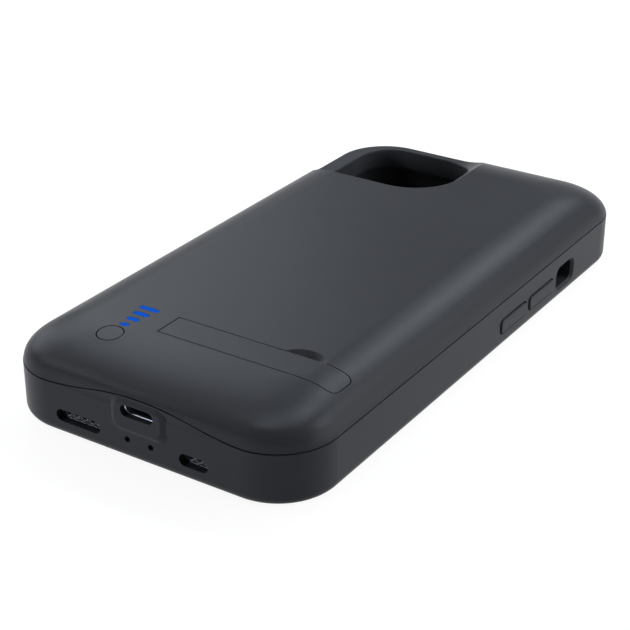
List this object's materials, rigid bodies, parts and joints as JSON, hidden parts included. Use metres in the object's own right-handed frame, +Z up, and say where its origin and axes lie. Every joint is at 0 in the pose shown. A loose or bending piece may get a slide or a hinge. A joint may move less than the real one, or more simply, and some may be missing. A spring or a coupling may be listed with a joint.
{
  "type": "battery charging case",
  "caption": "Battery case for a phone: frame with a front lip, crowned back with a camera bay, flush fold-out stand, check button with light bars, side keys and a charge port.",
  "frame": {"origin": "plan centre of the case on the plane that the front lip rests on", "axes": "+X across the case towards the volume keys, +Y from the chin with the charge port to the camera end, +Z up through the crowned back"},
  "size_m": [0.0798, 0.1566, 0.0198],
  "materials": {
    "frame_plastic": "fine matte",
    "cover_plastic": "soft matte",
    "stand_plastic": "soft matte",
    "button_plastic": "soft matte",
    "key_plastic": "fine matte",
    "light_plastic": "lit blue",
    "tray_plastic": "matte",
    "board": "lacquered",
    "chip": "moulded",
    "led": "clear",
    "cell_foil": "foil",
    "tape": "film",
    "steel": "bright",
    "lead_red": "soft",
    "lead_black": "soft",
    "flex": "film"
  },
  "bodies": {
    "case": {"bumper_frame": "frame_plastic", "back_cover": "cover_plastic", "hinge_pin": "steel", "light_guide": "light_plastic", "inner_tray": "tray_plastic", "tray_screws": "steel", "main_board": "board", "power_chip": "chip", "power_inductor": "chip", "led_chips": "led", "check_switch": "chip", "charge_port_shell": "steel", "charge_port_tongue": "chip", "battery_cell": "cell_foil", "battery_tape": "tape", "battery_guard_board": "board", "positive_lead": "lead_red", "negative_lead": "lead_black", "phone_plug": "steel", "plug_housing": "chip", "plug_board": "board", "plug_flex": "flex"},
    "stand": {"kickstand": "stand_plastic"},
    "check": {"check_button": "button_plastic"},
    "volume_up": {"volume_up_key": "key_plastic"},
    "volume_down": {"volume_down_key": "key_plastic"},
    "side": {"side_key": "key_plastic"}
  },
  "joints": [
    {"name": "kickstand_hinge", "type": "hinge", "parent": "case", "child": "stand", "pos_m": [-0.0091, -0.0542, 0.0189], "axis": [0, -1, 0], "range_deg": [0, 90]},
    {"name": "check_press", "type": "slide", "parent": "case", "child": "check", "axis": [0, 0, -1], "range_m": [0, 0.0003], "stiffness_N_per_m": 300, "springref_m": -0.001},
    {"name": "volume_up_press", "type": "slide", "parent": "case", "child": "volume_up", "axis": [-1, 0, 0], "range_m": [0, 0.0003], "stiffness_N_per_m": 400, "springref_m": -0.001},
    {"name": "volume_down_press", "type": "slide", "parent": "case", "child": "volume_down", "axis": [-1, 0, 0], "range_m": [0, 0.0003], "stiffness_N_per_m": 400, "springref_m": -0.001},
    {"name": "side_press", "type": "slide", "parent": "case", "child": "side", "axis": [1, 0, 0], "range_m": [0, 0.0003], "stiffness_N_per_m": 400, "springref_m": -0.001}
  ]
}
